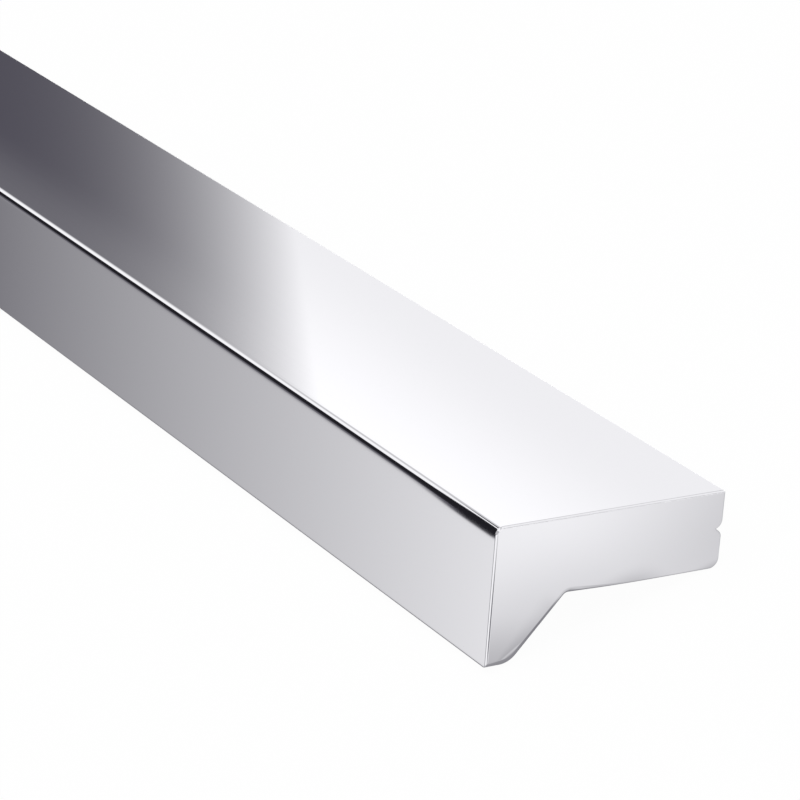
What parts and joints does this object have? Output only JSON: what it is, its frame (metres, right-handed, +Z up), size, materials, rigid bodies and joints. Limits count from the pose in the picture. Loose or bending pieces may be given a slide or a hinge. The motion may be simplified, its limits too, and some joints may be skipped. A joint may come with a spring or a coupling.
{
  "type": "ledge cabinet handle",
  "caption": "Polished ledge handle: a straight profile bar with a finger lip under its front edge and tapped blind holes in its rear face.",
  "frame": {"origin": "on the floor under the middle of the bar's box, as the bar lies unheld on its lip and rear corner", "axes": "+X along the bar, +Y towards the rear face that goes against the door, +Z up from the floor"},
  "size_m": [0.35, 0.0398, 0.0198],
  "materials": {
    "polished_metal": "polished"
  },
  "bodies": {
    "root": {"handle_profile": "polished_metal"}
  },
  "joints": []
}
